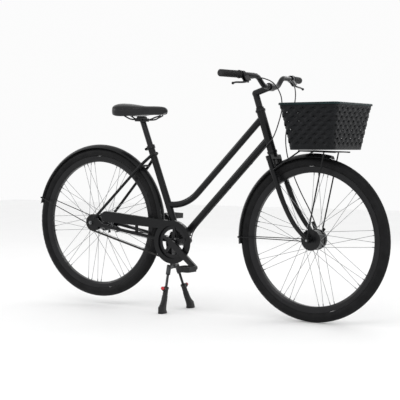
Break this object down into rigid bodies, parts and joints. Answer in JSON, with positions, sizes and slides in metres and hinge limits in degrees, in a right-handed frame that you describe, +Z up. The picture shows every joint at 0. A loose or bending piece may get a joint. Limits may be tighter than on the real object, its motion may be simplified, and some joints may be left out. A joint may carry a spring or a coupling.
{
  "type": "bicycle on stand",
  "caption": "Step-through city bicycle with front basket, fenders and chain guard, held with its rear wheel raised on a centre-mounted double kickstand with telescoping legs.",
  "frame": {"origin": "on the floor at the centre of the bicycle's bounding box, with the front tyre and both stand feet resting on Z = 0", "axes": "+X forward, +Y to the rider's left, +Z up"},
  "size_m": [1.8687, 0.708, 1.0808],
  "materials": {
    "satin_black_paint": "satin powder coat",
    "black_hardware": "satin black anodised alloy fittings",
    "bright_steel": "bright drawn wire and turned steel",
    "chain_steel": "dark oiled chain steel",
    "tyre_rubber": "matte rubber with tread",
    "grip_rubber": "moulded ribbed rubber",
    "saddle_vinyl": "grained vinyl with sewn seams",
    "pedal_plastic": "moulded plastic",
    "cable_housing": "extruded cable housing",
    "basket_weave": "woven synthetic rattan",
    "basket_trim": "smooth moulded rim, dark teal black",
    "stand_black": "gloss black paint",
    "yoke_grey": "satin dark grey cast alloy",
    "leg_plastic": "moulded plastic leg",
    "button_red": "gloss red push button"
  },
  "bodies": {
    "frame": {"head_tube": "satin_black_paint", "top_tube": "satin_black_paint", "down_tube": "satin_black_paint", "seat_tube": "satin_black_paint", "bottom_bracket_shell": "satin_black_paint", "rear_stays": "satin_black_paint", "rear_dropouts": "satin_black_paint", "headset_cups": "black_hardware", "seat_clamp": "black_hardware", "bottom_bracket_bearings": "bright_steel", "chain_guard": "satin_black_paint", "chain": "chain_steel", "rear_axle": "bright_steel", "rear_brake": "black_hardware", "rear_fender": "satin_black_paint", "rear_fender_stays": "satin_black_paint", "stand_top_plate": "stand_black", "stand_bracket": "stand_black", "stand_fasteners": "stand_black", "rear_brake_cable": "cable_housing"},
    "fork": {"fork": "satin_black_paint", "front_axle": "bright_steel", "front_brake": "black_hardware", "front_fender": "satin_black_paint", "front_fender_stays": "satin_black_paint", "stem": "black_hardware", "handlebar": "black_hardware", "grips": "grip_rubber", "lever_clamps": "black_hardware", "basket": "basket_weave", "basket_rim": "basket_trim", "basket_carrier": "satin_black_paint", "front_brake_cable": "cable_housing", "rear_brake_cable_loop": "cable_housing"},
    "brake_lever_right": {"brake_lever_right": "black_hardware"},
    "brake_lever_left": {"brake_lever_left": "black_hardware"},
    "front_wheel": {"front_tyre": "tyre_rubber", "front_rim": "black_hardware", "front_spokes": "bright_steel", "front_hub": "black_hardware"},
    "rear_wheel": {"rear_tyre": "tyre_rubber", "rear_rim": "black_hardware", "rear_spokes": "bright_steel", "rear_hub": "black_hardware"},
    "sprocket": {"rear_sprocket": "black_hardware"},
    "crank": {"crank_axle": "bright_steel", "crank_right": "black_hardware", "crank_left": "black_hardware", "chainring": "black_hardware"},
    "pedal_right": {"pedal_right": "pedal_plastic"},
    "pedal_left": {"pedal_left": "pedal_plastic"},
    "seatpost": {"seatpost": "black_hardware", "saddle": "saddle_vinyl", "saddle_rails": "black_hardware"},
    "stand": {"stand_yoke": "yoke_grey", "stand_rods": "stand_black"},
    "stand_leg_right": {"stand_leg_right": "leg_plastic"},
    "stand_leg_left": {"stand_leg_left": "leg_plastic"},
    "button_right": {"button_right": "button_red"},
    "button_left": {"button_left": "button_red"}
  },
  "joints": [
    {"name": "steering", "type": "hinge", "parent": "frame", "child": "fork", "pos_m": [0.37387, 0, 0.7384], "axis": [-0.3091, 0, 0.951], "range_deg": [-50, 50], "deforming": ["rear_brake_cable_loop"]},
    {"name": "front_wheel_spin", "type": "hinge", "parent": "fork", "child": "front_wheel", "pos_m": [0.57986, 0, 0.357], "axis": [0, 1, 0], "continuous": true},
    {"name": "rear_wheel_spin", "type": "hinge", "parent": "frame", "child": "rear_wheel", "pos_m": [-0.56944, 0, 0.397], "axis": [0, 1, 0], "continuous": true},
    {"name": "crank_spin", "type": "hinge", "parent": "frame", "child": "crank", "pos_m": [-0.10978, 0, 0.32197], "axis": [0, 1, 0], "continuous": true},
    {"name": "sprocket_spin", "type": "hinge", "parent": "frame", "child": "sprocket", "pos_m": [-0.56944, 0, 0.397], "axis": [0, 1, 0], "continuous": true},
    {"name": "pedal_right_spin", "type": "hinge", "parent": "crank", "child": "pedal_right", "pos_m": [0.02046, -0.14, 0.21271], "axis": [0, 1, 0], "continuous": true},
    {"name": "pedal_left_spin", "type": "hinge", "parent": "crank", "child": "pedal_left", "pos_m": [-0.24002, 0.14, 0.43123], "axis": [0, 1, 0], "continuous": true},
    {"name": "seatpost_slide", "type": "slide", "parent": "frame", "child": "seatpost", "axis": [-0.3503, 0, 0.9366], "range_m": [-0.08, 0.06]},
    {"name": "stand_fold", "type": "hinge", "parent": "frame", "child": "stand", "pos_m": [-0.15377, 0, 0.26546], "axis": [0, 1, 0], "range_deg": [0, 78]},
    {"name": "leg_slide_right", "type": "slide", "parent": "stand", "child": "stand_leg_right", "axis": [-0.0904, 0.3746, 0.9228], "range_m": [0, 0.03]},
    {"name": "leg_slide_left", "type": "slide", "parent": "stand", "child": "stand_leg_left", "axis": [-0.0904, -0.3746, 0.9228], "range_m": [0, 0.03]},
    {"name": "button_right_press", "type": "slide", "parent": "stand_leg_right", "child": "button_right", "axis": [0.0365, 0.9272, -0.3728], "range_m": [0, 0.0025], "stiffness_N_per_m": 600},
    {"name": "button_left_press", "type": "slide", "parent": "stand_leg_left", "child": "button_left", "axis": [0.0365, -0.9272, -0.3728], "range_m": [0, 0.0025], "stiffness_N_per_m": 600},
    {"name": "brake_lever_right_pull", "type": "hinge", "parent": "fork", "child": "brake_lever_right", "pos_m": [0.37112, -0.20297, 1.03823], "axis": [-0.7917, 0.1638, -0.5885], "range_deg": [0, 13], "stiffness_Nm_per_rad": 1.5},
    {"name": "brake_lever_left_pull", "type": "hinge", "parent": "fork", "child": "brake_lever_left", "pos_m": [0.37112, 0.20297, 1.03823], "axis": [0.7917, 0.1638, 0.5885], "range_deg": [0, 13], "stiffness_Nm_per_rad": 1.5}
  ],
  "couplings": [
    {"joint": "sprocket_spin", "follows": "crank_spin", "ratio": 2.3333}
  ]
}
